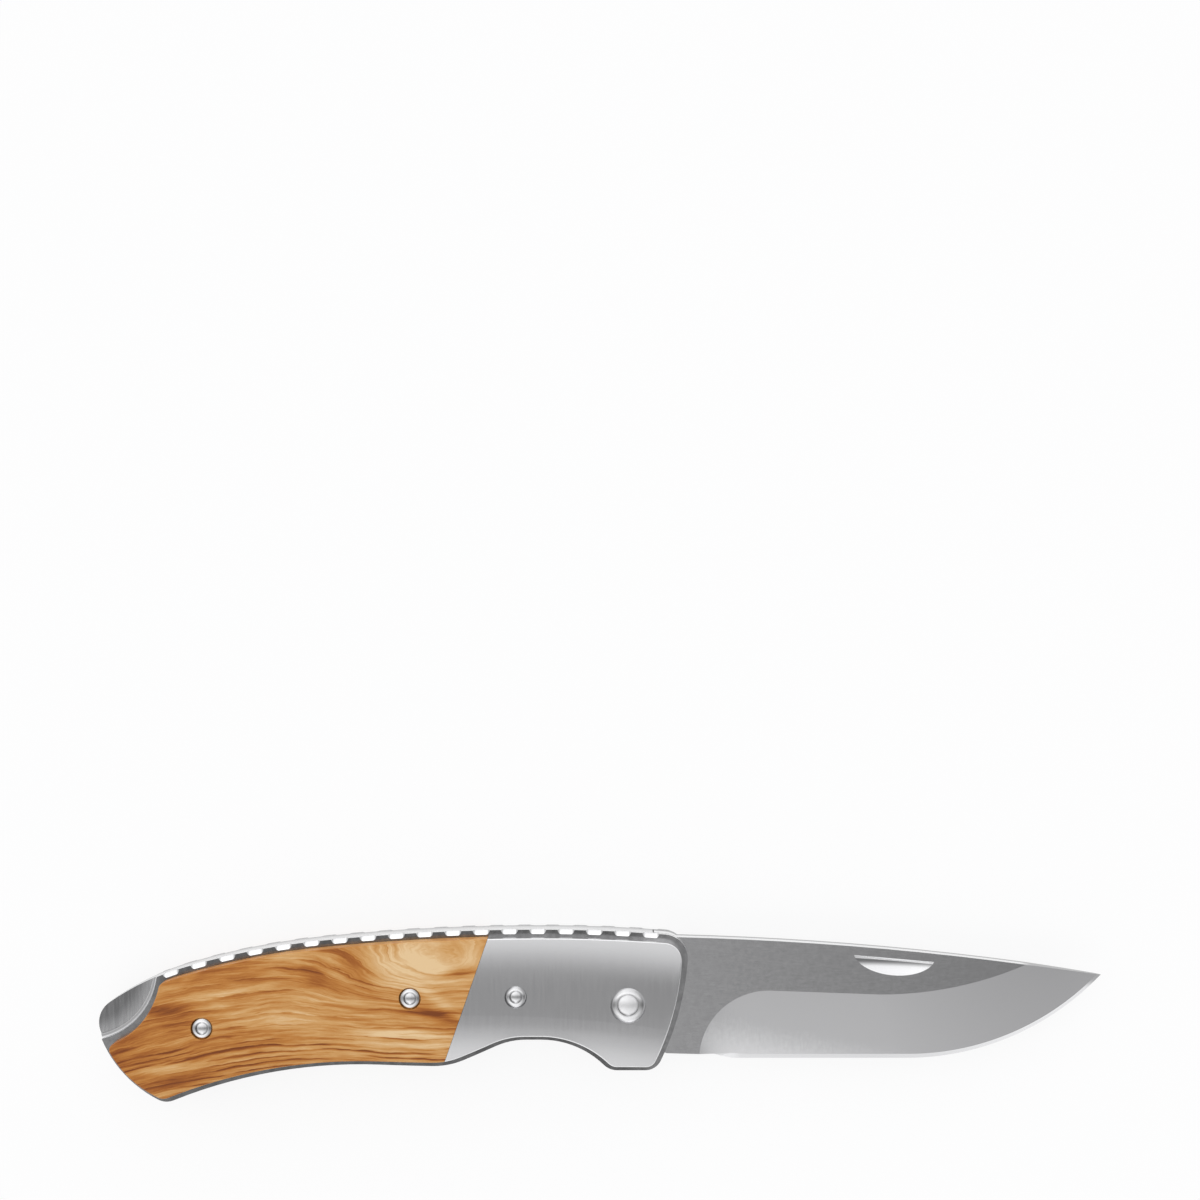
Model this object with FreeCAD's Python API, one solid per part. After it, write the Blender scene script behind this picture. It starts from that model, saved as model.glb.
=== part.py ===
import FreeCAD, Part
import math
import os
from FreeCAD import Vector

# A lock-back folding knife lying on its back side with the blade open. Millimetres and degrees.
# X runs to the blade's tip, Y to the spine and Z up through the thickness.
# The origin is on the blade's pivot axis, on the surface that the knife lies on.

# Handle outline, measured from the pivot axis
handle_back = 100.0
handle_front = 11.45
spine_height = 13.65
toe_depth = 12.86
butt_depth = 18.75
nose_radius = 4.6
toe_radius = 3.2
choil_radius = 3.6
butt_radius = 3.5
heel_radius = 4.6

# Outline points as shares: of handle_back along X, and of spine_height, toe_depth or butt_depth along Y
spine_top_share = -0.167
spine_shares = ((-0.58, 0.846), (-0.84, 0.47), (-1.006, -0.161))
nose_share = 0.906
front_bulge_shares = (0.893, 0.03)
toe_front_share = 0.463
toe_rear_share = -0.0355
choil_shares = ((-0.163, -0.552), (-0.192, -0.552))
belly_shares = ((-0.25, -0.65), (-0.31, -0.853), (-0.368, -0.939), (-0.467, -0.918))
butt_shares = (-0.87, -1.019)
rear_bulge_shares = (-0.973, -0.56)

# Layers through the thickness
blade_thickness = 3.0
washer_thickness = 0.15
blade_play = 0.03
liner_thickness = 1.0
cover_thickness = 3.0

# Thumb scoop, and the notches filed along the liners' upper corners
scoop_radius = 13.6
scoop_shares = (-1.023, 0.459)
scoop_fillet = 0.85
notch_width = 3.2
notch_pitch = 5.335
notch_depth = 0.58
notch_corner_radius = 0.7
notch_start = 7.1
notch_end_margin = 1.7

# Bolsters and scales
cover_reveal = 1.2
cover_rim_radius = 0.25
cover_corner_radius = 1.2
joint_share = -0.306
joint_lean = 19.25
joint_gap = 0.05
ridge_half_width = 3.5
ridge_bend_radius = 230.0
ridge_apex_shares = (-0.276, 0.1216)
crown_radius = 65.0
crown_half_width = 20.0
crown_sweep = 70.0

# Rivets, their rosettes, and the fits that they share
pivot_radius = 1.95
pivot_rosette_radius = 3.25
rivet_radius = 1.15
rivet_rosette_radius = 2.05
rosette_depth = 1.1
rosette_wall = 0.65
head_wall = 0.72
head_crest = 1.05
press_clearance = 0.02
running_clearance = 0.05
bolster_rivet_share = -0.21
scale_rivet_share = -0.408
butt_rivet_share = -0.797
washer_radius = 6.0

# Blade, measured from the pivot axis
blade_reach = 89.9
tip_height = 4.65
blade_spine_height = 12.13
blade_spine_shares = (0.579, 0.78)
edge_depth = 11.2
edge_start = 19.8
belly_start = 53.0
belly_overshoot = 12.0
ricasso_depth = 10.2
ricasso_end = 16.4
ricasso_heel = 7.4
ricasso_heel_depth = 9.95
grind_height = 13.1
grind_start = 13.5
grind_dip = 0.75
grind_turn = 48.0
grind_rise_radius = 69.0
grind_rise_angles = (-90.0, -60.0, -30.0)
edge_half_thickness = 0.3
plunge_radius = 13.2
plunge_run = 4.8
plunge_foot_radius = 4.0
bevel_height = 0.8
bevel_start = 17.0
bevel_corner_radius = 3.0
sharp_half_thickness = 0.02
nick_shares = (0.5606, 0.657)
nick_length = 15.2
nick_height = 3.2
nick_lift = 0.9
nick_depth = 0.45
nick_wall_run = 0.5
nick_lean = -5.0

# Tang, and the lock bar that drops into it
fold_angle = 174.0
tang_radius = 7.25
tang_heel_angle = 265.0
tooth_front = 4.4
tooth_length = 4.0
tooth_hover = 0.15
tooth_engagement = 0.6
tooth_floor_gap = 0.1
tooth_rear_gap = 0.2
tooth_root_run = 0.8
stop_gap = 0.15
stop_lean = 4.0
bar_play = 0.08
bar_underside_shares = ((-0.24, 0.72), (-0.43, 0.52), (-0.505, 0.505))
arm_underside_share = 0.73
spring_seat_shares = (-0.64, 0.455)
bar_rear_shares = (-0.8, 0.205)
paddle_cover = 1.8
paddle_angles = (-20.0, -50.0, -80.0)
rocker_shares = (-0.47, 0.718)
rocker_radius = 1.2

# Spring block, leaf spring and dowels at the butt: shares of handle_back and butt_depth
leaf_thickness = 0.7
leaf_play = 0.25
leaf_seat_gap = 0.04
leaf_tail_shares = (-0.846, -0.283)
leaf_middle_shares = (-0.75, 0.064)
leaf_slot_clearance = 0.02
paddle_travel = 4.0
block_shares = (
    (-0.804, -0.037), (-0.804, -0.229), (-0.832, -0.368), (-0.867, -0.555), (-0.912, -0.768), (-1.0, -1.1),
)
block_inset = 0.5
dowel_radius = 0.9
upper_dowel_shares = (-0.869, -0.405)
lower_dowel_shares = (-0.914, -0.635)

# One overrun for all cuts
overrun = 2.0


def placed(shares, length, height):
    return Vector(shares[0] * length, shares[1] * height, 0)


def polar(center, radius, degrees):
    angle = math.radians(degrees)
    return center + Vector(radius * math.cos(angle), radius * math.sin(angle), 0)


# Levels from the middle of the knife out to its sides
blade_half = blade_thickness / 2
slot_half = blade_half + washer_thickness + blade_play
liner_top = slot_half + liner_thickness
land_top = liner_top + cover_thickness
seat_top = land_top - rosette_depth

# Places that several pieces share
up = Vector(0, 0, 1)
pivot_at = Vector(0, 0, 0)
scoop_at = placed(scoop_shares, handle_back, spine_height)
rocker_at = placed(rocker_shares, handle_back, spine_height)
spring_seat_at = placed(spring_seat_shares, handle_back, spine_height)
upper_dowel_at = placed(upper_dowel_shares, handle_back, butt_depth)
lower_dowel_at = placed(lower_dowel_shares, handle_back, butt_depth)
ridge_hub = placed(ridge_apex_shares, handle_back, spine_height) - Vector(0, ridge_bend_radius, 0)


def on_ridge(share):
    """A place on the middle line of the covers, at a share of the handle's length."""
    x = share * handle_back
    return Vector(x, ridge_hub.y + math.sqrt(ridge_bend_radius ** 2 - (x - ridge_hub.x) ** 2), 0)


bolster_rivet_at = on_ridge(bolster_rivet_share)
scale_rivet_at = on_ridge(scale_rivet_share)
butt_rivet_at = on_ridge(butt_rivet_share)
rivet_places = {"bolster": bolster_rivet_at, "scale": scale_rivet_at, "butt": butt_rivet_at}


def line(start, end):
    return Part.makeLine(start, end)


def arc(start, middle, end):
    return Part.Arc(start, middle, end).toShape()


def bows(points, heading):
    """Arcs through the points, each leaving in the direction in which the last one arrived."""
    path = []
    for start, end in zip(points, points[1:]):
        side = Vector(-heading.y, heading.x, 0)
        chord = end - start
        radius = chord.Length ** 2 / (2 * chord.dot(side))
        hub = start + side * radius
        middle = hub + ((start + end) / 2 - hub).normalize() * abs(radius)
        path.append((start, middle, end))
        arrival = (end - hub) / radius
        heading = Vector(-arrival.y, arrival.x, 0)
    return path


def forward(path):
    return [arc(*points) for points in path]


def backward(path):
    return [arc(*points[::-1]) for points in reversed(path)]


def face_of(edges):
    return Part.Face(Part.Wire(Part.sortEdges(edges)[0]))


def polygon(points):
    return Part.Face(Part.makePolygon(list(points) + [points[0]]))


def disc(center, radius):
    return Part.Face(Part.Wire(Part.makeCircle(radius, center)))


def slab(face, bottom, top):
    """A flat face raised from one level to another."""
    raised = face.copy()
    raised.translate(Vector(0, 0, bottom))
    return raised.extrude(Vector(0, 0, top - bottom))


def peg(at, radius, bottom, top):
    return Part.makeCylinder(radius, top - bottom, at + Vector(0, 0, bottom))


def largest(shapes):
    return max(shapes, key=lambda shape: shape.Mass)


def mirrored(shape):
    return shape.mirror(pivot_at, up)


def middle_of(edge):
    return edge.valueAt((edge.FirstParameter + edge.LastParameter) / 2)


def redrawn(edge):
    """The same line or arc, drawn afresh through its ends and middle."""
    start, end = [vertex.Point for vertex in edge.Vertexes]
    if isinstance(edge.Curve, Part.Line):
        return line(start, end)
    return arc(start, middle_of(edge), end)


def rounded(edges, corners):
    """A closed outline of edges in turn, with a radius at each listed corner point."""
    edges = list(edges)
    fillets = []
    for corner, radius in corners:
        foot = Part.Vertex(corner)
        first, second = sorted(range(len(edges)), key=lambda index: edges[index].distToShape(foot)[0])[:2]
        maker = Part.ChFi2d.FilletAlgo(edges[first], edges[second], Part.Plane())
        maker.perform(radius)
        fillet, edges[first], edges[second] = maker.result(corner)
        fillets.append(fillet)
    return face_of([redrawn(edge) for edge in edges + fillets])


# Corners of the handle outline
spine_top = Vector(spine_top_share * handle_back, spine_height, 0)
nose = Vector(handle_front, nose_share * spine_height, 0)
heel = placed(spine_shares[-1], handle_back, spine_height)
butt = placed(butt_shares, handle_back, butt_depth)
toe_rear = Vector(toe_rear_share * handle_back, -toe_depth, 0)
toe_front = Vector(toe_front_share * handle_front, -toe_depth, 0)
rear_spine = [spine_top] + [placed(shares, handle_back, spine_height) for shares in spine_shares]
spine_edges = backward(bows([spine_top, nose], Vector(1, 0, 0))) + forward(bows(rear_spine, Vector(-1, 0, 0)))


def handle_outline():
    """The side outline that the liners and the lock bar share."""
    choil_front, choil_rear = [placed(shares, handle_back, toe_depth) for shares in choil_shares]
    belly = [choil_rear] + [placed(shares, handle_back, toe_depth) for shares in belly_shares] + [butt]
    edges = list(spine_edges)
    edges.append(arc(heel, placed(rear_bulge_shares, handle_back, butt_depth), butt))
    edges += backward(bows(belly, Vector(-1, 0, 0)))
    edges.append(line(choil_rear, choil_front))
    edges += forward(bows([choil_front, toe_rear], Vector(1, 0, 0)))
    edges.append(line(toe_rear, toe_front))
    edges.append(arc(toe_front, placed(front_bulge_shares, handle_front, spine_height), nose))
    corners = [
        (nose, nose_radius), (heel, heel_radius), (butt, butt_radius),
        (toe_rear, choil_radius), (toe_front, toe_radius),
    ]
    return rounded(edges, corners)


def scooped(outline, reach):
    """An outline with the thumb scoop taken out to its reach."""
    return largest(outline.cut(disc(scoop_at, reach)).Faces)


def along_spine(distance):
    """The place and direction at a distance along the spine from the nose."""
    for edge in spine_edges:
        if distance < edge.Length:
            break
        distance -= edge.Length
    spot = edge.getParameterByLength(distance)
    return edge.valueAt(spot), edge.tangentAt(spot)


def notch_cutters():
    """Round-cornered files at 45 degrees across the liner's upper corner, in even steps along the handle."""
    reach = liner_thickness + overrun
    start = Vector(-notch_width / 2, -reach, -notch_depth)
    file_body = Part.makeBox(notch_width, 2 * reach, reach, start)
    low = [edge for edge in file_body.Edges if edge.BoundBox.ZMax < 0 and edge.BoundBox.YLength > reach]
    file_body = file_body.makeFillet(notch_corner_radius, low)
    cutters = []
    distance = notch_start
    at, heading = along_spine(distance)
    while (at - scoop_at).Length > scoop_radius + notch_end_margin:
        cutter = file_body.copy()
        cutter.rotate(pivot_at, Vector(1, 0, 0), -45)
        cutter.rotate(pivot_at, up, math.degrees(math.atan2(-heading.y, -heading.x)))
        cutter.translate(at + Vector(0, 0, liner_top))
        cutters.append(cutter)
        distance += notch_pitch / abs(heading.x)
        at, heading = along_spine(distance)
    return cutters


def front_liner(handle):
    inner_reach = scoop_radius - scoop_fillet
    plate = slab(scooped(handle, inner_reach), slot_half, liner_top)
    dish = Part.makeTorus(inner_reach, scoop_fillet, scoop_at + Vector(0, 0, liner_top))
    pins = [(pivot_at, pivot_radius), (rocker_at, rocker_radius)]
    pins += [(upper_dowel_at, dowel_radius), (lower_dowel_at, dowel_radius)]
    pins += [(at, rivet_radius) for at in rivet_places.values()]
    holes = [peg(at, radius + press_clearance, 0, land_top) for at, radius in pins]
    return largest(plate.cut(holes + notch_cutters() + [dish]).Solids)


def crown():
    """A gently domed band that follows the bend of the handle, flat along its ridge."""
    ridge = ridge_hub + Vector(0, ridge_bend_radius, 0)
    fall = math.asin((crown_half_width - ridge_half_width) / crown_radius)

    def shoulder(side, turn):
        out = ridge_half_width + crown_radius * math.sin(turn)
        return ridge + Vector(0, side * out, land_top - crown_radius * (1 - math.cos(turn)))

    low_left = ridge + Vector(0, -crown_half_width, slot_half)
    low_right = ridge + Vector(0, crown_half_width, slot_half)
    section = face_of([
        line(low_left, shoulder(-1, fall)),
        arc(shoulder(-1, fall), shoulder(-1, fall / 2), shoulder(-1, 0)),
        line(shoulder(-1, 0), shoulder(1, 0)),
        arc(shoulder(1, 0), shoulder(1, fall / 2), shoulder(1, fall)),
        line(shoulder(1, fall), low_right),
        line(low_right, low_left),
    ])
    section.rotate(ridge_hub, up, -crown_sweep / 2)
    return section.revolve(ridge_hub, up, crown_sweep)


def cover_outline(handle):
    """The handle's outline set in by the reveal, with the corners beside the scoop rounded."""
    reach = scoop_radius + cover_reveal
    edges = scooped(handle.makeOffset2D(-cover_reveal), reach).OuterWire.Edges
    scoop_edge = min(edges, key=lambda edge: abs(middle_of(edge).distanceToPoint(scoop_at) - reach))
    ends = [vertex.Point for vertex in scoop_edge.Vertexes]
    return rounded(edges, [(end, cover_corner_radius) for end in ends])


def front_cover(handle):
    """Bolster and scale in one piece: domed, with a rounded rim."""
    outline = cover_outline(handle)
    body = largest(slab(outline, liner_top, land_top + overrun).common(crown()).Solids)
    rim = []
    for edge in body.Edges:
        middle = middle_of(edge)
        foot = Part.Vertex(middle.x, middle.y, 0)
        raised = edge.BoundBox.ZMin > liner_top + cover_rim_radius
        if raised and outline.OuterWire.distToShape(foot)[0] < press_clearance:
            rim.append(edge)
    return largest(body.makeFillet(cover_rim_radius, rim).Solids)


def joint_half(side):
    """Everything in front of (1) or behind (-1) the slanted joint between bolster and scale."""
    size = 2 * (handle_back + handle_front)
    half = Part.makeBox(size, size, 2 * land_top, Vector(0, -size / 2, 0))
    half.translate(Vector(side * joint_gap / 2 + (side - 1) * size / 2, 0, 0))
    half.rotate(pivot_at, up, -joint_lean)
    half.translate(Vector(joint_share * handle_back, 0, 0))
    return half


def rivet_hole(at, shank, ring):
    """A through hole with a counterbore for the rosette."""
    shaft = peg(at, shank + press_clearance, 0, land_top + overrun)
    return shaft.fuse(peg(at, ring + press_clearance, seat_top, land_top + overrun))


def front_bolster(cover):
    holes = [
        rivet_hole(pivot_at, pivot_radius, pivot_rosette_radius),
        rivet_hole(bolster_rivet_at, rivet_radius, rivet_rosette_radius),
    ]
    return largest(cover.common(joint_half(1)).cut(holes).Solids)


def front_scale(cover):
    holes = [rivet_hole(at, rivet_radius, rivet_rosette_radius) for at in (scale_rivet_at, butt_rivet_at)]
    return largest(cover.common(joint_half(-1)).cut(holes).Solids)


def turned(profile, at):
    """A turned piece: a profile of radius and height spun about an upright axis."""
    piece = face_of(profile).revolve(pivot_at, up, 360)
    piece.translate(at)
    return piece


def dome(top, edge):
    """An arc that starts level at the top and falls to the edge."""
    out = edge.x - top.x
    fall = top.z - edge.z
    radius = (out ** 2 + fall ** 2) / (2 * fall)
    half_turn = math.asin(out / radius) / 2
    middle = top + Vector(radius * math.sin(half_turn), 0, radius * (math.cos(half_turn) - 1))
    return arc(top, middle, edge)


def front_rosette(at, shank, radius):
    """A ring around a rivet's end, domed outwards and seated in its counterbore."""
    bore = shank + press_clearance
    low_in = Vector(bore, 0, seat_top)
    high_in = Vector(bore, 0, seat_top + head_crest)
    high_out = Vector(radius, 0, seat_top + rosette_wall)
    low_out = Vector(radius, 0, seat_top)
    walls = [line(low_in, high_in), line(high_out, low_out), line(low_out, low_in)]
    return turned(walls + [dome(high_in, high_out)], at)


def front_rivet(at, radius, bottom):
    """A plain shank from the given level up to a domed end inside its rosette."""
    foot = Vector(0, 0, bottom)
    foot_out = Vector(radius, 0, bottom)
    wall = Vector(radius, 0, seat_top + head_wall)
    crest = Vector(0, 0, seat_top + head_crest)
    return turned([line(foot, foot_out), line(foot_out, wall), dome(crest, wall), line(crest, foot)], at)


def blade_pivot_pin():
    half = front_rivet(pivot_at, pivot_radius, 0)
    return largest(half.fuse(mirrored(half)).removeSplitter().Solids)


def front_pivot_washer():
    washer = peg(pivot_at, washer_radius, slot_half - washer_thickness, slot_half)
    return largest(washer.cut(peg(pivot_at, pivot_radius + running_clearance, 0, land_top)).Solids)


def cutting_belly(rise, overshoot):
    """Start, middle and end of the curved part of the edge, raised along Y and run past the tip."""
    tip_rise = tip_height + edge_depth
    radius = ((blade_reach - belly_start) ** 2 + tip_rise ** 2) / (2 * tip_rise)
    center = Vector(belly_start, radius - edge_depth + rise, 0)
    turn = math.degrees(math.asin((blade_reach - belly_start) / radius)) + overshoot
    return [polar(center, radius, angle) for angle in (-90, turn / 2 - 90, turn - 90)]


def grind_belly():
    """Start, middle and end of the curved part of the grind line on the blade's side."""
    hub = Vector(grind_turn, grind_height - edge_depth - grind_dip + grind_rise_radius, 0)
    return [polar(hub, grind_rise_radius, angle) for angle in grind_rise_angles]


def ground_away(level, rise, start, corner, belly):
    """The outline of what is ground off at one level: everything below a line that ends in the belly."""
    floor = -edge_depth - plunge_radius - overrun
    hub = Vector(start + corner, rise - edge_depth - corner, 0)
    shoulder = polar(hub, corner, 180)
    crest = polar(hub, corner, 90)
    far = belly[2] + Vector(overrun, 0, 0)
    low_far = Vector(far.x, floor, 0)
    low_near = Vector(start, floor, 0)
    edges = [
        line(low_near, shoulder),
        arc(shoulder, polar(hub, corner, 135), crest),
        line(crest, belly[0]),
        arc(*belly),
        line(belly[2], far),
        line(far, low_far),
        line(low_far, low_near),
    ]
    outline = Part.Wire(edges)
    outline.translate(Vector(0, 0, level))
    return outline


def grind_cutter():
    """The flat-ground side of the blade, with its curved plunge at the ricasso."""
    slope = grind_height / (blade_half - edge_half_thickness)
    drop = -edge_half_thickness * slope
    low_belly = cutting_belly(drop, belly_overshoot)
    foot = ground_away(0, drop, grind_start + plunge_run, plunge_foot_radius, low_belly)
    top = ground_away(blade_half, grind_height, grind_start, plunge_radius, grind_belly())
    return Part.makeLoft([foot, top], True, True)


def bevel_cutter():
    """The narrow sharpening bevel along the cutting edge."""
    shoulder = edge_half_thickness + bevel_height * (blade_half - edge_half_thickness) / grind_height
    slope = bevel_height / (shoulder - sharp_half_thickness)
    outlines = []
    for level in (0, blade_half):
        rise = (level - sharp_half_thickness) * slope
        belly = cutting_belly(rise, belly_overshoot)
        outlines.append(ground_away(level, rise, bevel_start, bevel_corner_radius, belly))
    return Part.makeLoft(outlines, True, True)


def nick_cutter():
    """A half-moon groove for the thumbnail, cut by a round-edged wheel below a straight sloping wall."""
    bow = nick_height + nick_lift
    reach = nick_length / 2 / math.sqrt(1 - (nick_lift / bow) ** 2)
    wheel_edge = (bow ** 2 + nick_depth ** 2) / (2 * nick_depth)
    wheel = (reach ** 2 + nick_depth ** 2) / (2 * nick_depth)
    axle = Vector(0, nick_lift, wheel - nick_depth)
    ring = Part.makeTorus(wheel - wheel_edge, wheel_edge, axle, Vector(0, 1, 0))
    lean = nick_wall_run / nick_depth
    levels = [(overrun * lean, overrun), (-2 * nick_wall_run, -2 * nick_depth)]
    levels += [(-nick_length, -2 * nick_depth), (-nick_length, overrun)]
    side = polygon([Vector(-nick_length, y, z) for y, z in levels])
    groove = ring.common(side.extrude(Vector(2 * nick_length, 0, 0)))
    groove.rotate(pivot_at, up, nick_lean)
    groove.translate(placed(nick_shares, blade_reach, blade_spine_height) + Vector(0, 0, blade_half))
    return groove


def tang_shoulder(handle):
    """The part of the blade that fills the spine in front of the lock bar, flush with the liners."""
    top = spine_height + overrun
    corners = [(tooth_front, 0), (handle_front, 0), (handle_front, top), (tooth_front, top)]
    side = handle.common(polygon([Vector(x, y, 0) for x, y in corners]))
    return slab(side, -blade_half, blade_half)


def tooth_room():
    """The space in the tang for the lock bar's tooth and front end."""
    floor = tang_radius + tooth_hover - tooth_engagement - tooth_floor_gap
    top = spine_height + overrun
    rear = tooth_front - tooth_length - tooth_rear_gap
    front = tooth_front + stop_gap
    lean = (top - floor) * math.tan(math.radians(stop_lean))
    corners = [(rear, floor), (front, floor), (front + lean, top), (rear, top)]
    return slab(polygon([Vector(x, y, 0) for x, y in corners]), -slot_half, slot_half)


def blade_outline():
    spine_start = Vector(tooth_front - tooth_length / 2, blade_spine_height, 0)
    tip = Vector(blade_reach, tip_height, 0)
    belly = cutting_belly(0, 0)
    edge_end = Vector(edge_start, -edge_depth, 0)
    ricasso = Vector(ricasso_end, -ricasso_depth, 0)
    tang_heel = Vector(ricasso_heel, -ricasso_heel_depth, 0)
    tang_foot = polar(pivot_at, tang_radius, tang_heel_angle)
    return face_of([
        arc(spine_start, placed(blade_spine_shares, blade_reach, blade_spine_height), tip),
        arc(*belly),
        line(belly[0], edge_end),
        line(edge_end, ricasso),
        line(ricasso, tang_heel),
        line(tang_heel, tang_foot),
        line(tang_foot, spine_start),
    ])


def blade(handle):
    body = slab(blade_outline(), -blade_half, blade_half)
    tang = peg(pivot_at, tang_radius, -blade_half, blade_half)
    body = body.fuse([tang, tang_shoulder(handle)]).removeSplitter()
    open_room = tooth_room()
    shut_room = open_room.copy()
    shut_room.rotate(pivot_at, up, fold_angle)
    bore = peg(pivot_at, pivot_radius + running_clearance, -land_top, land_top)
    body = body.cut([open_room, shut_room, bore])
    for cutter in (grind_cutter(), bevel_cutter()):
        body = body.cut([cutter, mirrored(cutter)])
    return largest(body.cut(nick_cutter()).Solids)


def lock_bar(handle):
    """The rocking bar along the spine: a tooth at the front, a thumb paddle at the butt."""
    tip = tang_radius + tooth_hover
    top = spine_height + overrun
    lean = (top - tip) * math.tan(math.radians(stop_lean))
    tooth_rear = tooth_front - tooth_length
    paddle = [polar(scoop_at, scoop_radius + paddle_cover, angle) for angle in paddle_angles]
    behind = heel.x - overrun
    path = [Vector(behind, paddle[2].y, 0), Vector(behind, top, 0), Vector(tooth_front + lean, top, 0)]
    path += [Vector(tooth_front, tip, 0), Vector(tooth_rear, tip, 0)]
    path.append(Vector(tooth_rear - tooth_root_run, arm_underside_share * spine_height, 0))
    path += [placed(shares, handle_back, spine_height) for shares in bar_underside_shares]
    path += [spring_seat_at, placed(bar_rear_shares, handle_back, spine_height), paddle[0]]
    edges = [line(start, end) for start, end in zip(path, path[1:])]
    edges += [arc(*paddle), line(paddle[2], path[0])]
    side = largest(handle.common(face_of(edges)).Faces)
    bar = slab(side, bar_play - slot_half, slot_half - bar_play)
    return largest(bar.cut(peg(rocker_at, rocker_radius + running_clearance, -land_top, land_top)).Solids)


def leaf_outline(clearance):
    """The leaf spring from the side: a thin bow from the block up to its seat under the bar."""
    tail = placed(leaf_tail_shares, handle_back, butt_depth)
    middle = placed(leaf_middle_shares, handle_back, butt_depth)
    tip = spring_seat_at - Vector(0, leaf_seat_gap + leaf_thickness / 2, 0)
    bow = arc(tail, middle, tip).Curve
    reach = leaf_thickness / 2 + clearance
    sides = []
    for radius in (bow.Radius - reach, bow.Radius + reach):
        rays = [(point - bow.Center).normalize() for point in (tail, middle, tip)]
        sides.append([bow.Center + ray * radius for ray in rays])
    inner, outer = sides
    return face_of([arc(*inner), line(inner[2], outer[2]), arc(*outer), line(outer[0], inner[0])])


def leaf_spring():
    return slab(leaf_outline(0), leaf_play - slot_half, slot_half - leaf_play)


def spring_block(handle):
    """The spacer at the butt that grips the leaf spring's tail, clear of the bar and of the shut blade."""
    front = [placed(shares, handle_back, butt_depth) for shares in block_shares]
    behind = [Vector(scoop_at.x, front[-1].y, 0), Vector(scoop_at.x, front[0].y, 0)]
    side = polygon(front + behind).cut(disc(scoop_at, scoop_radius + paddle_cover + paddle_travel))
    side = largest(side.common(handle.makeOffset2D(-block_inset)).Faces)
    cuts = [slab(leaf_outline(leaf_slot_clearance), -land_top, land_top)]
    for at in (upper_dowel_at, lower_dowel_at):
        cuts.append(peg(at, dowel_radius + press_clearance, -land_top, land_top))
    return largest(slab(side, -slot_half, slot_half).cut(cuts).Solids)


def build():
    handle = handle_outline()
    cover = front_cover(handle)
    pieces = {
        "blade": blade(handle),
        "lock_bar": lock_bar(handle),
        "leaf_spring": leaf_spring(),
        "spring_block": spring_block(handle),
        "blade_pivot_pin": blade_pivot_pin(),
        "rocker_pin": peg(rocker_at, rocker_radius, -liner_top, liner_top),
        "upper_block_dowel": peg(upper_dowel_at, dowel_radius, -liner_top, liner_top),
        "lower_block_dowel": peg(lower_dowel_at, dowel_radius, -liner_top, liner_top),
    }
    sides = {
        "liner": front_liner(handle),
        "bolster": front_bolster(cover),
        "scale": front_scale(cover),
        "pivot_washer": front_pivot_washer(),
        "pivot_rosette": front_rosette(pivot_at, pivot_radius, pivot_rosette_radius),
    }
    for name, at in rivet_places.items():
        sides[name + "_rivet"] = front_rivet(at, rivet_radius, slot_half)
        sides[name + "_rosette"] = front_rosette(at, rivet_radius, rivet_rosette_radius)
    for name, piece in sides.items():
        pieces["front_" + name] = piece
        pieces["back_" + name] = mirrored(piece)
    for piece in pieces.values():
        piece.translate(Vector(0, 0, land_top))
    return pieces


os.makedirs("parts", exist_ok=True)
for node, piece in build().items():
    piece.exportStep("parts/" + node + ".step")
    print(node, piece.isValid(), len(piece.Solids), round(piece.Volume, 3))
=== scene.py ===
import math

import bmesh
import bpy
from mathutils import Matrix


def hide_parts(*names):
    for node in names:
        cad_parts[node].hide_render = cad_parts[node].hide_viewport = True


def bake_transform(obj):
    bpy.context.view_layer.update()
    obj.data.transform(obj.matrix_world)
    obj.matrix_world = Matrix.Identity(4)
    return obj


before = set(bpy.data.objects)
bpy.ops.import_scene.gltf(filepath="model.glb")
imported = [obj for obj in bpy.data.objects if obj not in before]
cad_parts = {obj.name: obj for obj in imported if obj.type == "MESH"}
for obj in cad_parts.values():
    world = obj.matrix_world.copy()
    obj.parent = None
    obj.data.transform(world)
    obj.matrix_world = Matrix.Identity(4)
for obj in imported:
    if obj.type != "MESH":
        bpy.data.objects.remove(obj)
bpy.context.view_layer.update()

# Blade: one piece of stainless steel, its flats finished with a fine satin grain along the blade.
# The lower half is ground to a flat taper on both sides, with a faint grain across,
# and a narrow polished bevel makes the edge.


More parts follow.
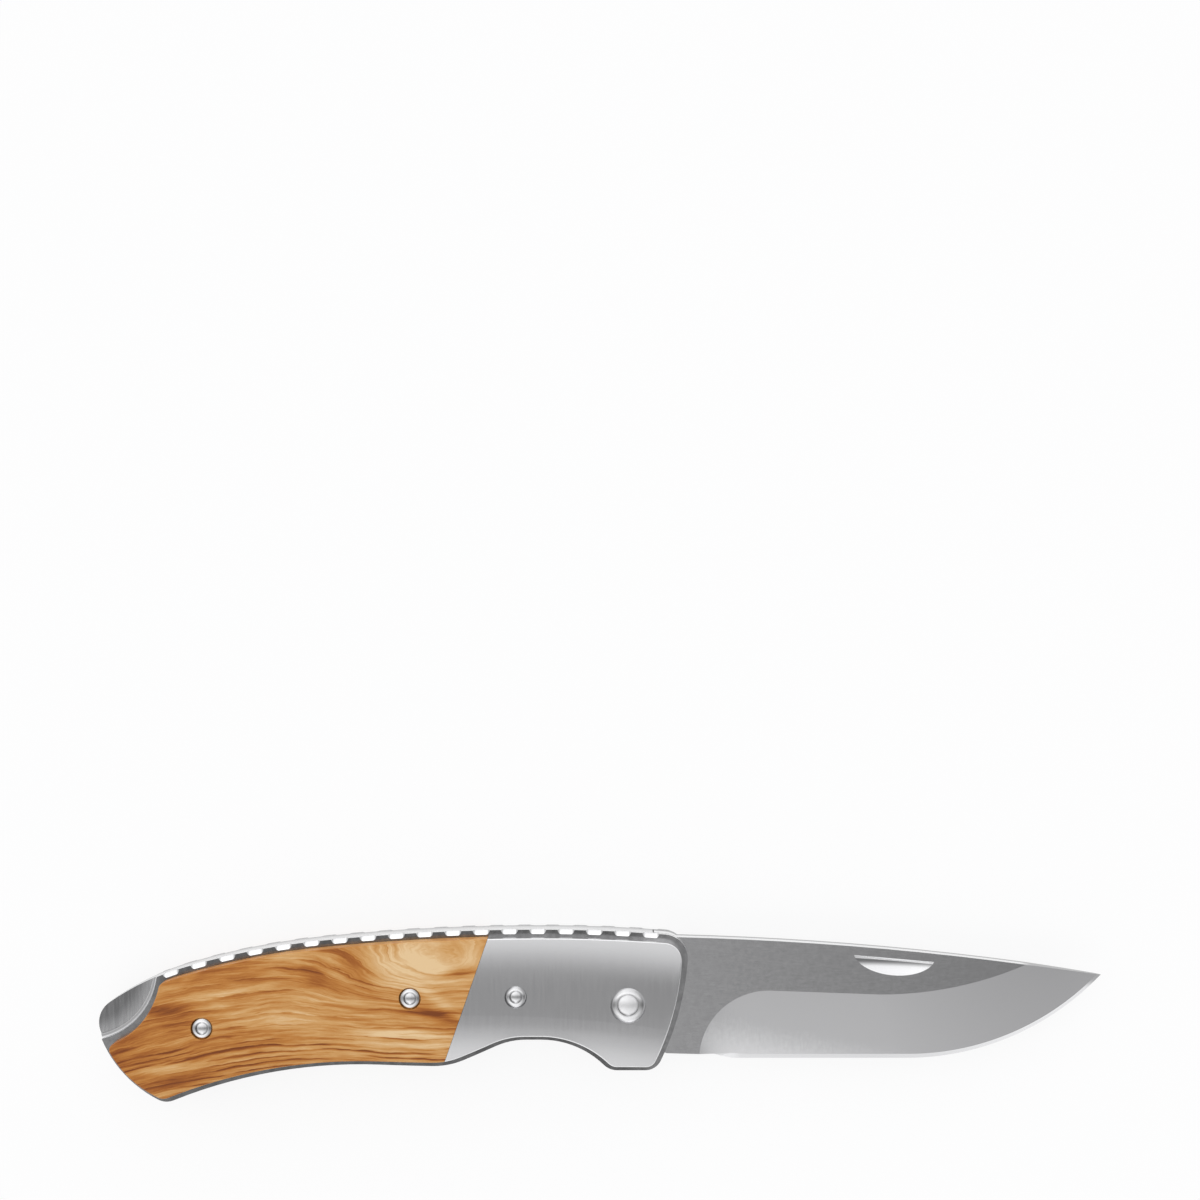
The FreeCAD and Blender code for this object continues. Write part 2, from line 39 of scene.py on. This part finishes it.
class Value:
    """A number, vector or colour in a material. Sums and products of numbers add Math nodes."""

    def __init__(self, tree, socket):
        self.tree = tree
        self.socket = socket

    def make(self, kind, settings, inputs, out=0):
        """One output of a new node, with its settings made first and then its sockets filled or linked."""
        made = self.tree.nodes.new(kind)
        for key, setting in settings.items():
            if key == "stops":
                fill_ramp(made.color_ramp, setting)
            else:
                setattr(made, key, setting)
        for key, given in inputs.items():
            if isinstance(given, Value):
                self.tree.links.new(given.socket, made.inputs[key])
            else:
                made.inputs[key].default_value = given
        return Value(self.tree, made.outputs[out])

    def maths(self, operation, *values):
        return self.make("ShaderNodeMath", {"operation": operation}, dict(enumerate(values)))

    def __add__(self, other):
        return self.maths("ADD", self, other)

    def __sub__(self, other):
        return self.maths("SUBTRACT", self, other)

    def __rsub__(self, other):
        return self.maths("SUBTRACT", other, self)

    def __mul__(self, other):
        return self.maths("MULTIPLY", self, other)

    def __truediv__(self, other):
        return self.maths("DIVIDE", self, other)

    def __rtruediv__(self, other):
        return self.maths("DIVIDE", other, self)

    def __abs__(self):
        return self.maths("ABSOLUTE", self)

    def __neg__(self):
        return self * -1

    __radd__ = __add__
    __rmul__ = __mul__

    def step(self, low, high):
        """0 below low, 1 above high and a smooth rise from one to the other."""
        settings = {"interpolation_type": "SMOOTHSTEP"}
        inputs = {"Value": self, "From Min": low, "From Max": high, "To Min": 0.0, "To Max": 1.0}
        return self.make("ShaderNodeMapRange", settings, inputs)

    def parts(self):
        split = self.make("ShaderNodeSeparateXYZ", {}, {"Vector": self}).socket.node
        return [Value(self.tree, socket) for socket in split.outputs]

    def joined(self, x, y, z):
        return self.make("ShaderNodeCombineXYZ", {}, {"X": x, "Y": y, "Z": z})

    def noise(self, scale, detail=3.0, roughness=0.5):
        inputs = {"Vector": self, "Scale": scale, "Detail": detail, "Roughness": roughness}
        return self.make("ShaderNodeTexNoise", {}, inputs)

    def brushed(self, stretch, scale, detail=4.0, roughness=0.6):
        """Fine lines at a place: noise drawn out along each axis whose stretch is well under 1."""
        drawn = self.make("ShaderNodeMapping", {}, {"Vector": self, "Scale": stretch})
        return drawn.noise(scale, detail, roughness)

    def blend(self, low, high):
        """A colour from low, where the value is 0, to high, where it is 1."""
        settings = {"data_type": "RGBA", "clamp_factor": True}
        # The colour sockets share their names with others, so they go by number
        return self.make("ShaderNodeMix", settings, {0: self, 6: low, 7: high}, out=2)

    def bump(self, strength, distance):
        inputs = {"Strength": strength, "Distance": distance, "Height": self}
        return self.make("ShaderNodeBump", {}, inputs)


def fill_ramp(ramp, stops):
    while len(ramp.elements) < len(stops):
        ramp.elements.new(0.5)
    for element, (position, colour) in zip(ramp.elements, stops):
        element.position = position
        element.color = colour


def grey(level):
    """A steel grey, with a touch more blue than red and green."""
    return (level, level, level * 1.008, 1.0)


MM = 0.001


def new_finish(name, **constants):
    """A material, its main shader, and its object coordinates in millimetres."""
    material = bpy.data.materials.new(name)
    material.use_nodes = True
    tree = material.node_tree
    shader = tree.nodes["Principled BSDF"]
    for socket, given in constants.items():
        shader.inputs[socket.replace("_", " ")].default_value = given
    start = Value(tree, None).make("ShaderNodeTexCoord", {}, {}, "Object")
    place = start.make("ShaderNodeMapping", {}, {"Vector": start, "Scale": (1 / MM, 1 / MM, 1 / MM)})
    return material, shader, place


def feed(shader, socket, value):
    value.tree.links.new(value.socket, shader.inputs[socket])


def facing(place, axis):
    """1 where the surface faces along the axis, either way, and 0 where it lies along it."""
    normal = place.make("ShaderNodeTexCoord", {}, {}, "Normal")
    return abs(normal.parts()["XYZ".index(axis)])


def put_on(material, *names):
    for name in names:
        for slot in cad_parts[name].material_slots:
            slot.material = material


# Ranges over which one finish passes to the next: by how squarely a surface faces an axis, from 0 to 1,
# or by its place in millimetres
side_facing = (0.2, 0.4)
bevel_facing = (0.3, 0.5)
ground_facing = (0.93, 0.96)
flat_facing = (0.9975, 0.9985)
bevel_top = (2, 4)
heel_start = (14.5, 17)
heel_end = (18, 22)
heel_top = (-10.4, -10.0)
blade_finish, blade_shader, blade_place = new_finish("satin_blade_steel", Metallic=1.0)
blade_x, blade_y, blade_z = blade_place.parts()
blade_level = facing(blade_place, "Z")
blade_flat = blade_level.step(*flat_facing)
blade_back = 1 - blade_level.step(*side_facing)
blade_bevel = (1 - blade_level.step(*ground_facing)) * blade_level.step(*bevel_facing)
blade_edge = blade_bevel * (1 - blade_y.step(*bevel_top))
# Painted highlight: the edge bevel is brightest where it starts at the heel
heel_edge_highlight = blade_x.step(*heel_start) * (1 - blade_x.step(*heel_end)) * (1 - blade_y.step(*heel_top))
long_grain = blade_place.brushed((0.06, 1, 1), 6.0)
cross_grain = blade_place.brushed((1, 0.05, 1), 4.0, 3.0)
blade_cloud = blade_place.noise(1.2, 4.0, 0.7)
blade_grain = long_grain * blade_flat + cross_grain * (1 - blade_flat)
blade_tone = blade_grain * 0.4 + blade_cloud * 0.6

# Painted shade darkens the flats towards the tip, over their own cloudy tone. Painted light makes the
# ground sides brightest low down at the heel.
blade_length = 80
flat_tone = (blade_tone * 1.8 - 0.4 - blade_x / blade_length).step(-0.7, 0.9)
flat_side = flat_tone.blend(grey(0.45), grey(0.63))
ground_heel = (17, -10)
ground_reach = (40, 8)
ground_rise = (blade_y - ground_heel[1]) / ground_reach[1] + (blade_x - ground_heel[0]) / ground_reach[0]
ground_tone = (ground_rise + (blade_tone - 0.5) * 0.6).step(0, 1)
ground_run = (35, 85)
ground_upper = blade_x.step(*ground_run).blend(grey(0.551), grey(0.503))
ground_side = ground_tone.blend(grey(0.76), ground_upper)
blade_body = blade_flat.blend(ground_side, flat_side)

# The back is painted bright on its front half, with painted shade on its back half and near the tip, and
# painted highlights make the edge brightest at the heel and near the tip
back_half = (4.9, 5.6)
back_end = (74, 77)
back_painted_light = blade_z.step(*back_half) * (1 - blade_x.step(*back_end))
back_tone = back_painted_light.blend(grey(0.285), grey(0.874))
edge_run = (45, 75)
edge_highlight_tone = blade_x.step(*edge_run).blend(grey(0.741), grey(0.931))
blade_colour = blade_back.blend(blade_body, back_tone)
blade_colour = blade_edge.blend(blade_colour, edge_highlight_tone)
blade_colour = heel_edge_highlight.blend(blade_colour, grey(0.95))

# The nail nick: a painted highlight on its upper wall, a fine painted shadow line under it, and painted
# shade in the bowl that lightens downwards
nick_corner = (42.85, 8.49)
nick_slope = 0.0813
nick_start = (42.3, 42.6)
nick_end = (58.2, 58.5)
nick_top = (-0.3, -0.1)
nick_wall = (0.38, 0.44)
nick_shade = (0.5, 1.6)
nick_foot = (3.3, 3.5)
nick_middle = 50
shade_slope = 0.05
nick_drop = nick_corner[1] - nick_slope * (blade_x - nick_corner[0]) - blade_y
nick_ends = blade_x.step(*nick_start) * (1 - blade_x.step(*nick_end))
in_nick = (1 - blade_flat) * nick_ends * nick_drop.step(*nick_top) * (1 - nick_drop.step(*nick_foot))
bowl_tone = (nick_drop + (blade_x - nick_middle) * shade_slope).step(*nick_shade)
nick_bowl_shade = bowl_tone.blend(grey(0.247), grey(0.931))
nick_colour = nick_drop.step(*nick_wall).blend(grey(0.95), nick_bowl_shade)
feed(blade_shader, "Base Color", in_nick.blend(blade_colour, nick_colour))
feed(blade_shader, "Roughness", 0.17 + blade_grain * 0.07)
feed(blade_shader, "Normal", blade_grain.bump(0.03, 0.0001))
put_on(blade_finish, "blade")

# Liners: two thin steel plates that carry everything, cut out and hardened, so their sides are dark.
# The dark skin is lighter at both ends. The edges, the notches filed
# along the spine and the scoop, ground with a round wheel, are bright, with painted shade at the notch
# ends and on the scoop's wall away from its rim.
plate_facing = (0.97, 0.995)
notch_facing = (0.35, 0.7)
front_end_fade = (-1, 7)
butt_end_fade = (-92, -85)
spine_width = (3.2, 8.2)
mid_plane = 5.68
half_slot = (2.0, 2.3)
scoop_middle = (-102.3, 6.27)
scoop_shade = (13.1, 13.55)
scoop_rim = (13.62, 13.7)
cloud_middle = (0.3, 0.7)


def mottled(cloud, low, high):
    """Two colours clouded into each other, with the middle of the noise spread over both."""
    return cloud.step(*cloud_middle).blend(low, high)


def spine_painted_shade(height):
    """The bright back of a plate along the spine, with painted shade darkening it towards the underside of
    the knife.
    """
    return height.step(*spine_width).blend(grey(0.494), grey(0.902))


def from_scoop(x, y):
    """The distance from the middle of the thumb scoop."""
    across = x - scoop_middle[0]
    up = y - scoop_middle[1]
    square = across * across + up * up
    return square.maths("SQRT", square)


liner_finish, liner_shader, liner_place = new_finish("dark_liner_steel", Metallic=1.0)
liner_x, liner_y, liner_z = liner_place.parts()
liner_cloud = liner_place.noise(0.8, 4.0, 0.6)
liner_level = facing(liner_place, "Z")
liner_ends = liner_x.step(*front_end_fade) + (1 - liner_x.step(*butt_end_fade))
liner_skin = mottled(liner_cloud, grey(0.19), grey(0.266))
liner_end_tone = mottled(liner_cloud, grey(0.342), grey(0.418))
liner_inside = 1 - abs(liner_z - mid_plane).step(*half_slot)
liner_inner = mottled(liner_cloud, grey(0.5), grey(0.58))
liner_side = liner_inside.blend(liner_ends.blend(liner_skin, liner_end_tone), liner_inner)
# Painted shade: the ends of each notch, facing along the knife, are darker
notch_end = facing(liner_place, "X").step(*notch_facing)
notch_end_shade = notch_end.blend(grey(0.874), grey(0.522))
liner_edge = liner_level.step(*side_facing).blend(spine_painted_shade(liner_z), notch_end_shade)
liner_scoop = from_scoop(liner_x, liner_y)
# Painted shade: the scoop's wall is darker away from its rim, and bright at the rim
scoop_wall_shade = liner_scoop.step(*scoop_shade).blend(grey(0.38), grey(0.902))
liner_edge = liner_scoop.step(*scoop_rim).blend(scoop_wall_shade, liner_edge)
liner_flat = liner_level.step(*plate_facing)
feed(liner_shader, "Base Color", liner_flat.blend(liner_edge, liner_side))
feed(liner_shader, "Roughness", 0.16 + liner_cloud * 0.1 + liner_inside * 0.35)
put_on(liner_finish, "front_liner", "back_liner")

# Lock bar: a long steel lever between the liners, its bright back ground flush with them along the spine.
# Its rear end is the thumb paddle in the scoop, ground so that fine lines run up and down,
# and painted lighter towards the scoop's edge, as a painted highlight.
scoop_edge_light = (9.5, 13.0)
bar_finish, bar_shader, bar_place = new_finish("cross_ground_steel", Metallic=1.0)
bar_x, bar_y, bar_z = bar_place.parts()
bar_flat = facing(bar_place, "Z").step(*plate_facing)
bar_upright = bar_place.brushed((1, 0.06, 0.2), 2.5, 4.0, 0.65)
bar_along = bar_place.brushed((0.05, 0.05, 1), 3.0)
bar_grain = bar_upright * bar_flat + bar_along * (1 - bar_flat)
bar_ground = mottled(bar_grain, grey(0.237), grey(0.294))
bar_painted_light = mottled(bar_grain, grey(0.494), grey(0.57))
# Painted highlight: the paddle brightens towards the scoop's edge
bar_side = from_scoop(bar_x, bar_y).step(*scoop_edge_light).blend(bar_ground, bar_painted_light)
feed(bar_shader, "Base Color", bar_flat.blend(spine_painted_shade(bar_z), bar_side))
feed(bar_shader, "Roughness", 0.2 + bar_grain * 0.12)
feed(bar_shader, "Normal", bar_grain.bump(0.06, 0.0002))
put_on(bar_finish, "lock_bar")

# Bolsters: solid steel covers at the front of the handle, gently domed and blended by hand.
# The finish is a soft satin with a faint upright grain. The rim is painted brighter as a highlight, and
# painted shade darkens the body along its crown line, lighter towards the top and bottom.
crown_facing = (0.86, 0.97)
crown_line = 1
crown_fade = (1, 8)
bolster_finish, bolster_shader, bolster_place = new_finish("satin_bolster_steel", Metallic=1.0)
bolster_y = bolster_place.parts()[1]
bolster_grain = bolster_place.brushed((1, 0.05, 1), 3.0)
bolster_cloud = bolster_place.noise(1.0, 4.0, 0.7)
bolster_tone = bolster_grain * 0.7 + bolster_cloud * 0.3
# Painted highlight on the rim, and painted shade along the crown line
bolster_rim_highlight = 1 - facing(bolster_place, "Z").step(*crown_facing)
bolster_painted_light = abs(bolster_y - crown_line).step(*crown_fade)
bolster_body = (bolster_painted_light + (bolster_tone - 0.5) * 0.8).blend(grey(0.545), grey(0.64))
feed(bolster_shader, "Base Color", bolster_rim_highlight.blend(bolster_body, grey(0.855)))
feed(bolster_shader, "Roughness", 0.18 + bolster_grain * 0.06)
feed(bolster_shader, "Normal", bolster_grain.bump(0.02, 0.0001))
put_on(bolster_finish, "front_bolster", "back_bolster")

# Scales: olive wood, sawn near the heart, sanded smooth and oiled. They butt against the bolsters
# on a slanted joint. The grain follows the bend of the handle, and beside the bolster it swirls
# round a pale patch, with dark heartwood streaks below it.


def shade(red, green, blue):
    """A colour written as on a screen, 0 to 255, in the linear values that a material takes."""
    linear = []
    for level in (red, green, blue):
        level /= 255
        linear.append(level / 12.92 if level <= 0.04045 else ((level + 0.055) / 1.055) ** 2.4)
    return (*linear, 1.0)


wood_finish, wood_shader, wood_place = new_finish("oiled_olive_wood", Specular_IOR_Level=0.3)
wood_x, wood_y, wood_z = wood_place.parts()


def patch(middle, reach, lean):
    """A soft patch of wood: 1 in its middle, fading over its reach, and leaning up to the right."""
    across = wood_x - middle[0]
    up = (wood_y - middle[1] - across * lean) / reach[1]
    across = across / reach[0]
    fall = -(across * across + up * up)
    return fall.maths("EXPONENT", fall)


# The layers of the wood, bent along the handle, heaped up in the swirl and wandering a little
bow_middle = -57
butt_bend = 0.0037
front_relief = 0.0019
bow_turn = (-4, 4)
low_edge = (-6.2, -4.9)
low_front = (0, 30)
low_front_rise = 1.6
low_arch = 0.9
swirl_middle = (-36, 7)
swirl_reach = (17, 7)
swirl_heap = 9
drift_width = 3
swirl_drift = 7
waver_width = 0.8
bow = wood_x - bow_middle
arch = bow * bow * (butt_bend - bow.step(*bow_turn) * front_relief)
low_wood = 1 - (wood_y + arch * low_arch - bow.step(*low_front) * low_front_rise).step(*low_edge)
swirl = patch(swirl_middle, swirl_reach, 0.0)
drift = wood_place.brushed((0.5, 1, 0.3), 0.1, 3.0, 0.5) - 0.5
waver = wood_place.joined(wood_x * 0.3, wood_y, wood_z * 0.3 + 30).noise(0.5, 3.0, 0.6) - 0.5
drift = drift * (drift_width + swirl * swirl_drift)
waver = waver * (waver_width + swirl - low_wood * 0.5)
layer = wood_y + arch + swirl * swirl_heap + drift + waver

# Its colour along the layers: wide bands, feathered streaks and fine fibres
band = wood_place.joined(wood_x * 0.035, layer * 0.26, wood_z * 0.1).noise(1.0, 5.0, 0.6) - 0.5
feather = wood_place.joined(wood_x * 0.09, layer, wood_z * 0.1 + 7).noise(1.0, 6.0, 0.68) - 0.5
fibre = wood_place.joined(wood_x * 0.09, layer * 4.5, wood_z * 0.3).noise(1.0, 3.0, 0.6) - 0.5
line_rise = (0.45, 0.95)
line_drop = (0.95, 1.0)
break_fade = 0.15


def rings(spacing, start, breaks):
    """Growth lines across the layers, soft below and sharp above, that come and go."""
    turn = (layer + fibre * 0.5) / spacing + start + band * 2
    turn = turn.maths("FRACT", turn)
    line = turn.step(*line_rise) * (1 - turn.step(*line_drop))
    run = wood_place.joined(wood_x * 0.05, layer * 0.7, wood_z * 0.1 + start).noise(1.0, 3.0, 0.6)
    return line * run.step(breaks, breaks + break_fade)


# Its pale patches and its dark ones, as they lie on the front side: middle, reach, lean and strength
pale_patches = [
    ((-39.5, 7.2), (12.5, 4.6), 0.0, 0.42),
    ((-42, -5.2), (9, 0.8), -0.02, 0.5),
    ((-36, 1.2), (5, 1.2), -0.6, 0.2),
    ((-63, -1.7), (10, 2.2), 0.08, 0.16),
    ((-80, 1.3), (7, 1.1), 0.1, 0.22),
    ((-86, -11.8), (5, 0.8), 0.1, 0.2),
]
dark_patches = [
    ((-51, 6.5), (4, 3), -0.6, 0.32),
    ((-58.5, 6.5), (3, 3), -0.5, 0.2),
    ((-31.5, 6.2), (3, 1.2), 0.15, 0.3),
    ((-35, -2), (6.5, 1), -0.3, 0.35),
    ((-85.6, -1), (4.5, 1.1), 0.1, 0.25),
    ((-84, -14.2), (8, 1.0), 0.2, 0.3),
]
pale_wood = sum(patch(*form) * strength for *form, strength in pale_patches)
dark_wood = sum(patch(*form) * strength for *form, strength in dark_patches)
front_side = (3, 8)
figure = (pale_wood - dark_wood) * wood_z.step(*front_side)

# Along the narrow edges the streaks are faint and a straight grain shows. Growth lines show on the faces.
middle_tone = 0.52
edge_facing = (0.5, 0.9)
face_facing = (0.6, 0.95)
dark_butt = (-88, -66)
wood_edge = facing(wood_place, "Y").step(*edge_facing)
wood_face = facing(wood_place, "Z").step(*face_facing)
edge_grain = wood_place.brushed((0.05, 0.1, 1.6), 1.0, 5.0, 0.65) - 0.5
streaks = feather * 1.15 + fibre * (0.45 - swirl * 0.2) + figure * 1.25
tone = middle_tone + band * 1.1 + streaks * (1 - wood_edge * 0.8) + wood_edge * edge_grain * 1.3
tone = tone - (1 - wood_x.step(*dark_butt)) * 0.1
wide_lines = rings(2.1, 11.3, 0.45) * 0.26 * (1 - low_wood * 0.5)
close_lines = rings(1.05, 4.7, 0.42) * low_wood * 0.55
tone = tone - wood_face * (wide_lines + close_lines - low_wood * 0.06)
wood_tones = [
    (0.0, shade(124, 62, 16)),
    (0.22, shade(162, 93, 31)),
    (0.45, shade(191, 126, 56)),
    (0.68, shade(212, 161, 98)),
    (1.0, shade(235, 202, 154)),
]
wood_colour = tone.make("ShaderNodeValToRGB", {"stops": wood_tones}, {"Fac": tone})
feed(wood_shader, "Base Color", wood_colour)
feed(wood_shader, "Roughness", 0.46 - fibre * 0.14)
feed(wood_shader, "Normal", fibre.bump(0.1, 0.0003))
put_on(wood_finish, "front_scale", "back_scale")

# Rivets and pins: turned steel, their domed ends polished after riveting, with a painted dark reflection
# as a band across the crown.
# Each rivet shows inside its rosette; the rocker pin and the dowels are hidden under the covers.
rivet_facing = (0.02, 0.4)
rivet_finish, rivet_shader, rivet_place = new_finish("polished_rivet_steel", Metallic=1.0)
rivet_grain = rivet_place.noise(2.5)
# Painted reflection: a dark band across the middle of each dome
rivet_dark_reflection = 1 - (facing(rivet_place, "Y") + (rivet_grain - 0.5) * 0.05).step(*rivet_facing)
feed(rivet_shader, "Base Color", rivet_dark_reflection.blend(grey(0.9), grey(0.47)))
feed(rivet_shader, "Roughness", 0.26 + rivet_grain * 0.06)
put_on(rivet_finish, "rocker_pin", "upper_block_dowel", "lower_block_dowel")
for side in ("front_", "back_"):
    put_on(rivet_finish, side + "bolster_rivet", side + "scale_rivet", side + "butt_rivet")

# Pivot pin: a thicker pin of the same steel, turned and pressed in.
# Its domed ends are tumbled to a soft, slightly clouded satin.
pivot_finish, pivot_shader, pivot_place = new_finish("tumbled_pivot_steel", Metallic=1.0)
pivot_grain = pivot_place.noise(1.5, 4.0, 0.6)
feed(pivot_shader, "Base Color", mottled(pivot_grain, grey(0.836), grey(0.874)))
feed(pivot_shader, "Roughness", 0.32 + pivot_grain * 0.06)
put_on(pivot_finish, "blade_pivot_pin")

# Rosettes: small steel rings, turned with a domed face and pressed into the counterbores
# round the rivets. The dome is polished all over, with a painted dark reflection on its left and right.
rosette_facing = (0.05, 0.4)
rosette_finish, rosette_shader, rosette_place = new_finish("polished_rosette_steel", Metallic=1.0)
rosette_grain = rosette_place.noise(3.0)
# Painted reflection: the dome's left and right sides are darker
rosette_dark_reflection = (facing(rosette_place, "X") + (rosette_grain - 0.5) * 0.1).step(*rosette_facing)
feed(rosette_shader, "Base Color", rosette_dark_reflection.blend(grey(0.82), grey(0.38)))
feed(rosette_shader, "Roughness", 0.1 + rosette_grain * 0.08)
for side in ("front_", "back_"):
    put_on(rosette_finish, side + "pivot_rosette", side + "bolster_rosette")
    put_on(rosette_finish, side + "scale_rosette", side + "butt_rosette")

# Washers: two thin bronze discs, stamped out and lapped flat. They lie loose on the pivot pin,
# and the blade turns between them.
washer_finish, washer_shader, washer_place = new_finish("satin_bronze", Metallic=1.0)
washer_grain = washer_place.noise(1.5, 4.0, 0.6)
bronze = mottled(washer_grain, shade(172, 128, 70), shade(196, 152, 92))
feed(washer_shader, "Base Color", bronze)
feed(washer_shader, "Roughness", 0.3 + washer_grain * 0.15)
put_on(washer_finish, "front_pivot_washer", "back_pivot_washer")

# Spring block: a steel spacer between the liners at the butt, held by two dowels. Like the leaf spring
# in its slot it is blued by tempering, and left as it came from the furnace.
blued = (0.3, 0.32, 0.36, 1)
straw_grey = (0.46, 0.45, 0.44, 1)
spring_finish, spring_shader, spring_place = new_finish("tempered_spring_steel", Metallic=1.0)
spring_cloud = spring_place.noise(0.5, 3.0, 0.6)
feed(spring_shader, "Base Color", mottled(spring_cloud, blued, straw_grey))
feed(spring_shader, "Roughness", 0.3 + spring_cloud * 0.2)
put_on(spring_finish, "spring_block")

# Leaf spring: a strip of the same steel, rolled to a bow. Its tail is gripped in the block and its tip
# bears under the lock bar, so it bends from one to the other as the bar is pressed.
bow_centre = (-46.561 * MM, -51.097 * MM, 0)
leaf_inner = 59.18 * MM
leaf_outer = 59.88 * MM
leaf_bottom = 4.25 * MM
leaf_top = 7.11 * MM
tail_angle = math.radians(129.71)
bow_angle = math.radians(22.68)
bow_steps = 24
strip = bmesh.new()
for radius in (leaf_inner, leaf_outer):
    strip.verts.new((radius, 0, leaf_bottom))
for radius in (leaf_outer, leaf_inner):
    strip.verts.new((radius, 0, leaf_top))
strip.faces.new(strip.verts)
turned = Matrix.Rotation(tail_angle, 3, "Z")
bmesh.ops.rotate(strip, verts=strip.verts, cent=(0, 0, 0), matrix=turned)
tail = strip.verts[:] + strip.edges[:] + strip.faces[:]
bmesh.ops.spin(strip, geom=tail, cent=(0, 0, 0), axis=(0, 0, 1), angle=-bow_angle, steps=bow_steps)
bmesh.ops.translate(strip, verts=strip.verts, vec=bow_centre)
bmesh.ops.recalc_face_normals(strip, faces=strip.faces)
leaf_mesh = bpy.data.meshes.new("leaf_strip")
strip.to_mesh(leaf_mesh)
strip.free()
leaf_mesh.materials.append(spring_finish)
leaf_strip = bpy.data.objects.new("leaf_strip", leaf_mesh)
bpy.context.scene.collection.objects.link(leaf_strip)
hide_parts("leaf_spring")
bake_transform(leaf_strip)

# Floor: a white sheet that the knife lies on. The camera and the metal see it as plain white,
# and it keeps a soft shadow.
half_sheet = 3.0
floor_glow_share = 0.84
WHITE = (1, 1, 1, 1)
floor_mesh = bpy.data.meshes.new("floor")
sheet = bmesh.new()
bmesh.ops.create_grid(sheet, x_segments=1, y_segments=1, size=half_sheet)
sheet.to_mesh(floor_mesh)
sheet.free()
floor = bpy.data.objects.new("floor", floor_mesh)
bpy.context.scene.collection.objects.link(floor)
floor_finish, floor_shader, floor_place = new_finish("white_sheet", Roughness=1.0, Specular_IOR_Level=0.0)
floor_grain = floor_place.noise(0.01, 2.0)
feed(floor_shader, "Base Color", floor_grain.blend(grey(0.97), grey(0.99)))


def seen_directly(value):
    """1 for what the camera sees, straight on or in a mirror, 0 for the light that falls on things."""
    camera_ray = value.make("ShaderNodeLightPath", {}, {}, "Is Camera Ray")
    glossy_ray = value.make("ShaderNodeLightPath", {}, {}, "Is Glossy Ray")
    glass_ray = value.make("ShaderNodeLightPath", {}, {}, "Is Transmission Ray")
    total = camera_ray + glossy_ray + glass_ray
    return total.maths("MINIMUM", total, 1.0)


floor_glow = floor_place.make("ShaderNodeEmission", {}, {"Color": WHITE, "Strength": 1.0})
floor_cloth = Value(floor_place.tree, floor_shader.outputs["BSDF"])
floor_share = seen_directly(floor_place) * floor_glow_share
floor_mix = floor_place.make("ShaderNodeMixShader", {}, {0: floor_share, 1: floor_cloth, 2: floor_glow})
feed(floor_finish.node_tree.nodes["Material Output"], "Surface", floor_mix)
floor_mesh.materials.append(floor_finish)

# Studio: a white tent with a dim gap overhead, where the camera looks in. The flat steel sides mirror
# the gap, and the slopes, domes and rims mirror the bright cloth round it.
world = bpy.data.worlds.new("white_tent")
world.use_nodes = True
bpy.context.scene.world = world
tent = world.node_tree
tent_way = Value(tent, None).make("ShaderNodeTexCoord", {}, {}, "Generated")
tent_x, tent_y = tent_way.parts()[:2]

# How bright the cloth is, from the belly side of the knife at -1 over the top to the spine side at 1
tent_levels = [
    (-1.0, 1.05), (-0.8, 1.03), (-0.6, 1.05), (-0.5, 1.09), (-0.42, 0.97), (-0.35, 0.73),
    (-0.28, 0.49), (-0.21, 0.32), (-0.14, 0.4), (-0.07, 0.66), (0.0, 0.98), (0.07, 1.22),
    (0.18, 1.17), (0.35, 1.02), (0.7, 0.97), (0.88, 1.34), (1.0, 1.52),
]
tent_stops = [(at * 0.5 + 0.5, (level, level, level, 1)) for at, level in tent_levels]
tent_gap = tent_way.make("ShaderNodeValToRGB", {"stops": tent_stops}, {"Fac": tent_y * 0.5 + 0.5})
gap_run = (-0.35, 0.35)
tent_fade = tent_x.step(*gap_run).blend(grey(1.12), grey(0.85))
tent_shade = {"data_type": "RGBA", "blend_type": "MULTIPLY"}
tent_middle = tent_way.make("ShaderNodeMix", tent_shade, {0: 1.0, 6: tent_fade, 7: tent_gap}, out=2)

# The cloth at the two ends of the tent: bright at the butt's end, dim at the end beyond the blade
dim_middle = -0.2
dim_reach = (-0.2, 0.6)
tent_end = (0.55, 0.85)
tent_ends = (tent_x - abs(tent_y - dim_middle)).step(*dim_reach).blend(grey(1.08), grey(0.47))
tent_light = abs(tent_x).step(*tent_end).blend(tent_middle, tent_ends)
tent_camera = tent_way.make("ShaderNodeLightPath", {}, {}, "Is Camera Ray")
feed(tent.nodes["Background"], "Color", tent_camera.blend(tent_light, WHITE))

# Camera: straight above, with the knife low in the frame. It stands off towards the spine,
# so the back of the handle and of the blade shows along the top of the knife.
picture_pixels = 1200
pixel_size = 0.19
camera_x = -5.235
camera_y = 75.78
camera_height = 338
half_frame = picture_pixels / 2 * pixel_size / camera_height
camera_data = bpy.data.cameras.new("camera")
camera_data.sensor_width = 36.0
camera_data.lens = camera_data.sensor_width / (2 * half_frame)
camera_data.clip_start = 0.01
camera = bpy.data.objects.new("camera", camera_data)
camera.location = (camera_x * MM, camera_y * MM, (mid_plane + camera_height) * MM)
bpy.context.scene.collection.objects.link(camera)
bpy.context.scene.camera = camera
bpy.context.scene.view_settings.view_transform = "Standard"
